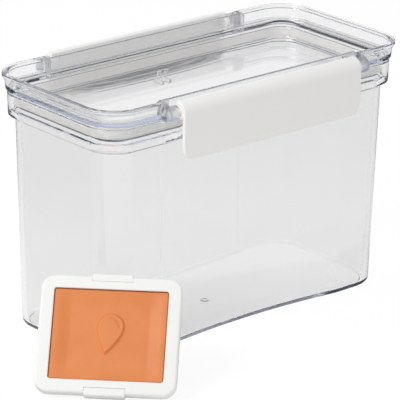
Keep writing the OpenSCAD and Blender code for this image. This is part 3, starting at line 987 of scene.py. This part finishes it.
def carry_round_window(notch_half, inset, front, notch_depth):
    """Carries a closed section round the insert's outline, no further out than the notch's depth where a
    tongue sits at the head and the foot; corners get tighter inwards, down to the window's own radius."""
    side = np.array([1, 1, -1, -1]) * notch_half
    in_notch = np.array([0, 1, 1, 0])
    sign_x, place, sign_z, angle, notch = round_stations(side, in_notch, corner_steps=9)
    inset = np.where(notch > 0, np.maximum(inset[:, None], notch_depth), inset[:, None])
    radius = np.maximum(INSERT_RADIUS - inset, WINDOW_RADIUS)
    across = sign_x * (INSERT_W / 2 - inset - radius) + place + radius * np.cos(angle)
    up = sign_z * (INSERT_H / 2 - inset * END_BAR / SIDE_BAR - radius) + radius * np.sin(angle)
    return lean_back(across, front[:, None], up + LEAN_H / 2)


def make_insert_frame(material):
    """The frame's section, with a soft outer edge and the lap over the clay, carried round its outline."""
    back, face, lap = BACK_T + FRAME_CLEAR, INSERT_T, INSERT_T - LAP_T
    inset, front = closed_line(
        [(LAP_START, back), (0, back), (0, face), (SIDE_BAR, face), (SIDE_BAR, lap), (LAP_START, lap)],
        np.array([0.1, 0.3, 1.4, 0.5, 0.15, 0.1]) * MM, steps=7).T
    grid = carry_round_window(TONGUE_W / 2 + TONGUE_GAP, inset, front, NOTCH_D)
    finish_piece(ring_piece("insert_front_frame", grid), "insert", "frame_plastic", material, "insert_frame")


def tongue(sign):
    """A snap tongue at the head or the foot: a block with broken edges that reaches from the back plate to
    the frame's face and a little past the frame's edge."""
    low, high = INSERT_H / 2 - NOTCH_D + TONGUE_GAP, INSERT_H / 2 + TONGUE_OUT
    outline = closed_line([(0, low), (INSERT_T, low), (INSERT_T, high), (0, high)],
                          np.array([0.1, 0.2, 0.9, 0.4]) * MM)
    stack = broken_ends(outline, -TONGUE_W / 2, TONGUE_W / 2, TONGUE_EDGE, TONGUE_END_SHARE)
    return grid_piece("tongue", np.stack([
        lean_back(np.full(len(line), x), line[:, 0], LEAN_H / 2 + sign * line[:, 1]) for x, line in stack]))


def make_insert_back(material):
    """The back frame: a flat ring round its window, with a snap tongue at the head and the foot."""
    inset, front = closed_line([(BACK_WINDOW, 0), (0, 0), (0, BACK_T), (BACK_WINDOW, BACK_T)],
                               np.array([0.3, 0.4, 0.1, 0.3]) * MM).T
    grid = carry_round_window(TONGUE_W / 2, inset, front, 0.0)
    piece = joined("insert_back_frame", [ring_piece("back_ring", grid), tongue(1), tongue(-1)])
    finish_piece(piece, "insert", "frame_plastic", material, "insert_back")


def droplet_half(up):
    """Half width of the droplet at each height: a sine that fades out towards the point below."""
    turn = np.arccos(np.clip(-2 * up / DROP_L, -1, 1))
    peak_turn = math.atan(math.sqrt(DROP_FADE + 1))
    peak = 2 * math.cos(peak_turn) * math.sin(peak_turn) ** (DROP_FADE + 1)
    return DROP_W / 2 / peak * np.sin(turn) * np.sin(turn / 2) ** DROP_FADE


def droplet_height(across, up):
    """Relief of the droplet: a plateau inside its outline, whose point curls to the left as a parabola, with
    a flank that is steep on the right and soft on the left, and a short groove along the right of its round
    head."""
    up = up - DROP_UP
    bend = np.clip(DROP_CURL_START - DROP_CURL_RATE * up / DROP_L, 0, 1) ** 2
    side = across - DROP_CURL_BACK * DROP_CURL + DROP_CURL * bend
    step = 0.05 * MM
    slope = (droplet_half(up + step) - droplet_half(up - step)) / (2 * step)
    inside = (droplet_half(up) - np.abs(side)) / np.sqrt(1 + slope ** 2)
    flank = DROP_FLANK * (1 + DROP_SOFT_FLANK * smooth_step(-side, -0.1 * DROP_W, 0.3 * DROP_W))
    plateau = DROP_H * smooth_step(inside / flank, -0.1, 1) * (np.abs(up) < DROP_L / 2)
    head = DROP_L / 2 - DROP_W / 2
    reach = np.hypot(side, up - head) / (DROP_W / 2)
    around = np.degrees(np.arctan2(up - head, side))
    groove = smooth_step(reach, *GROOVE_INNER) - smooth_step(reach, *GROOVE_OUTER)
    groove = groove * smooth_step(around, *GROOVE_FIRST) * (1 - smooth_step(around, *GROOVE_LAST))
    return plateau - GROOVE_DEPTH * groove


def clay_height(across, up):
    """Face of the clay: a shallow dish with soft sides, the droplet standing in it, and a narrow crevice
    along the window of the frame."""
    side, end = np.abs(across), np.abs(up)
    dish = 1 - smooth_step(side, DISH_HALF_W - DISH_SIDE_SLOPE, DISH_HALF_W + DISH_SIDE_SLOPE)
    dish = dish * (1 - smooth_step(end, DISH_HALF_H - DISH_END_SLOPE, DISH_HALF_H + DISH_END_SLOPE))
    to_frame = np.minimum(INSERT_W / 2 - SIDE_BAR - side, INSERT_H / 2 - END_BAR - end)
    crevice = CREVICE_DEPTH * (1 - smooth_step(to_frame, -0.1 * MM, CREVICE_WIDTH))
    return INSERT_T - LAP_T - TILE_CLEAR - DISH_DEPTH * dish + droplet_height(across, up) - crevice


def make_clay(material):
    """The tile: a fine height grid in front, straight sides and a flat back."""
    across = np.linspace(-TILE_W / 2, TILE_W / 2, 241)
    up = np.linspace(-TILE_H / 2, TILE_H / 2, 205)
    grid_a, grid_u = np.meshgrid(across, up)
    face = np.stack([grid_a, clay_height(grid_a, grid_u), grid_u], axis=-1)
    border = np.concatenate([face[0, :-1], face[:-1, -1], face[-1, :0:-1], face[:0:-1, 0]])
    foot = border.copy()
    foot[:, 1] = BACK_T + TILE_CLEAR
    rows, columns = face.shape[:2]
    points = np.concatenate([face.reshape(-1, 3), border, foot])
    count = len(border)
    near = rows * columns + np.arange(count)
    after = rows * columns + (np.arange(count) + 1) % count
    sides = np.stack([near, after, after + count, near + count], axis=-1).tolist()
    faces = grid_faces(rows, columns, False) + sides + [(near + count).tolist()]
    points = lean_back(points[:, 0], points[:, 1], points[:, 2] + LEAN_H / 2)
    finish_piece(make_piece("clay_slab", points, faces), "insert", "clay", material, "clay_tile")


# Stage and light

TABLE_REACH = 20
TABLE_GAP = 0.0002
TABLE_GREY = 0.9
TABLE_UNLIT = 0.1
TABLE_GLOW = 1.02
GLOW_SHARE = 0.85
GLOW_IN_CLEAR = 0.85
# Painted pool of light: in reflections the table is white near the object and painted dark beyond it.
POOL_START = 0.12
POOL_END = 0.36
# Painted shadow: in reflections a strip of the table in front of the tub is painted dark.
SHADE_FRONT = -0.085
SHADE_BACK = -0.02
SHADE_EDGE = 0.012
# Painted light: in reflections a sector of the table toward the camera stays white.
LIT_WAY = (-0.66, -0.75, 0)
LIT_EDGE = 0.6
LIT_FULL = 0.82

AMBIENT = 0.79
BACKDROP = (0.66, 0.75, 0)
BACKDROP_EDGE = -0.1
BACKDROP_FULL = 0.5
CEILING_START = math.radians(21.3)
CEILING_FULL = math.radians(23.6)
LOW_FULL = math.radians(14)
LOW_END = math.radians(23)
LOW_LIGHT = 0.65
ROOM_DARK = (0.03, 0.032, 0.04, 1)

KEY_PLACE = (-1.04, 0.08, 1.2)
KEY_TARGET = (0, 0, 0.07)
KEY_SIZE = 0.6
KEY_POWER = 8.5


def seen_directly(tree, in_gloss, in_clear):
    """Value of 1 on camera rays, of in_gloss on glossy rays, of in_clear on transmission rays, and of 0 on
    the rays that light surfaces; the largest counts."""
    path = add_node(tree, "ShaderNodeLightPath", {})
    seen = path["Is Camera Ray"]
    for kind, value in (("Is Glossy Ray", in_gloss), ("Is Transmission Ray", in_clear)):
        seen = reckon(tree, "MAXIMUM", seen, reckon(tree, "MULTIPLY", path[kind], value))
    return seen


def dull(tree, grey):
    """A dull grey surface."""
    return add_node(tree, "ShaderNodeBsdfDiffuse", {"Color": (grey, grey, grey, 1)})["BSDF"]


def make_stage():
    """A pale table with a painted pool of light. The camera sees it as white with a part of the real shading
    left in it, and clear plastic lets more of that through. Mirrored in a surface it is painted dark away
    from the object, but not toward the camera, and a painted shadow darkens a strip of it in front of the
    tub."""
    far = TABLE_REACH
    floor = make_piece("floor", [(-far, -far, 0), (far, -far, 0), (far, far, 0), (-far, far, 0)],
                       [(0, 1, 2, 3)])
    floor.location.z = -TABLE_GAP
    material = bpy.data.materials.new("floor_white")
    material.use_nodes = True
    tree = material.node_tree
    tree.nodes.clear()
    output = tree.nodes.new("ShaderNodeOutputMaterial")
    glow = add_node(tree, "ShaderNodeEmission", {"Strength": TABLE_GLOW})["Emission"]
    share = reckon(tree, "MULTIPLY", seen_directly(tree, 0.0, GLOW_IN_CLEAR), GLOW_SHARE)
    white = mix_shaders(tree, share, dull(tree, TABLE_GREY), glow)
    path = add_node(tree, "ShaderNodeLightPath", {})
    vector, _, y, _ = places(tree)
    # Painted pool of light and lit sector, seen only in reflections.
    outside = smooth_span(tree, reckon_vector(tree, "LENGTH", vector)["Value"], POOL_START, POOL_END)
    heading = reckon_vector(tree, "NORMALIZE", vector)["Vector"]
    toward = reckon_vector(tree, "DOT_PRODUCT", heading, LIT_WAY)["Value"]
    outside = combine(tree, "SUBTRACT", outside, smooth_span(tree, toward, LIT_EDGE, LIT_FULL))
    # Painted shadow strip in front of the tub, seen only in reflections.
    shade = within(tree, y, SHADE_FRONT, SHADE_BACK, SHADE_EDGE)
    outside = combine(tree, "MAXIMUM", outside, shade)
    mirrored_only = combine(tree, "SUBTRACT", path["Is Glossy Ray"], path["Is Transmission Ray"])
    unlit = combine(tree, "MULTIPLY", mirrored_only, outside)
    tree.links.new(mix_shaders(tree, unlit, white, dull(tree, TABLE_UNLIT)), output.inputs["Surface"])
    floor.data.materials.append(material)


def make_world():
    """A dark room with a white backdrop behind the object: the camera sees white, glossy and clear surfaces
    see the backdrop and, away from it and above it, the room, which is paler near the table, and the rays
    that light the object see an even, dimmer white."""
    world = bpy.data.worlds.new("studio")
    world.use_nodes = True
    tree = world.node_tree
    tree.nodes.clear()
    output = tree.nodes.new("ShaderNodeOutputWorld")
    strength = add_node(tree, "ShaderNodeMapRange", {
        "Value": seen_directly(tree, 1.0, 1.0), "To Min": AMBIENT, "To Max": 1.0})["Result"]
    vector, _, _, z = places(tree, "Generated")
    toward = reckon_vector(tree, "DOT_PRODUCT", vector, BACKDROP)["Value"]
    above = smooth_span(tree, z, math.sin(CEILING_START), math.sin(CEILING_FULL))
    away = smooth_span(tree, toward, BACKDROP_FULL, BACKDROP_EDGE)
    low = smooth_span(tree, z, math.sin(LOW_END), math.sin(LOW_FULL))
    away = combine(tree, "MULTIPLY", away, reckon(tree, "MULTIPLY_ADD", low, -LOW_LIGHT, 1.0))
    path = add_node(tree, "ShaderNodeLightPath", {})
    bent = combine(tree, "MAXIMUM", path["Is Glossy Ray"], path["Is Transmission Ray"])
    dark = combine(tree, "MULTIPLY", combine(tree, "MAXIMUM", above, away), bent)
    room = mix_colours(tree, dark, (1, 1, 1, 1), ROOM_DARK)
    background = add_node(tree, "ShaderNodeBackground", {"Color": room, "Strength": strength})
    tree.links.new(background["Background"], output.inputs["Surface"])
    bpy.context.scene.world = world


def make_lamp(name, place, target, size, power):
    """A square soft box at a place, turned to a target."""
    data = bpy.data.lights.new(name, "AREA")
    data.shape = "SQUARE"
    data.size = size
    data.energy = power
    lamp = put_in_scene(name, data)
    lamp.location = place
    lamp.rotation_mode = "QUATERNION"
    lamp.rotation_quaternion = (Vector(target) - Vector(place)).to_track_quat("-Z", "Y")


# Building

make_camera()
TUB_CLEAR = clear_plastic("tub_clear", tint=(0.907, 0.907, 0.907), absorb=(0.32, 0.38, 0.52), density=5.0)
LID_CLEAR = clear_plastic("lid_clear", tint=(0.965, 0.965, 0.965), absorb=(0.32, 0.36, 0.48), density=14.0)
LATCH_WHITE = white_plastic("latch_white", colour=(0.87, 0.865, 0.85), rough=0.38)
FRAME_WHITE = white_plastic("frame_white", colour=(0.84, 0.84, 0.825), rough=0.4)
SEAL_MILKY = milky_silicone("seal_milky", colour=(0.92, 0.91, 0.89))
FIRED_CLAY = fired_clay("fired_clay", dark=(0.77, 0.242, 0.068), light=(0.82, 0.27, 0.082))

# Painted light: the floor is tinted white so that it shows lighter than the walls.
paint_floor_lighter(TUB_CLEAR, colour=(1, 1, 1))
tint_thick_edges(LID_CLEAR, colour=(0.52, 0.57, 0.72))
frost_hinges(LID_CLEAR, rough=0.5)
make_tub(TUB_CLEAR)
make_whole_lid(LID_CLEAR)
make_seal(SEAL_MILKY)
make_latches(LATCH_WHITE)
make_insert_frame(FRAME_WHITE)
make_insert_back(FRAME_WHITE)
make_clay(FIRED_CLAY)
make_stage()
make_world()
make_lamp("key", KEY_PLACE, KEY_TARGET, KEY_SIZE, KEY_POWER)

paths = bpy.context.scene.cycles
paths.max_bounces = 96
paths.glossy_bounces = 96
paths.transmission_bounces = 96
paths.transparent_max_bounces = 48
paths.caustics_reflective = False
paths.caustics_refractive = False
bpy.context.scene.view_settings.view_transform = "Standard"
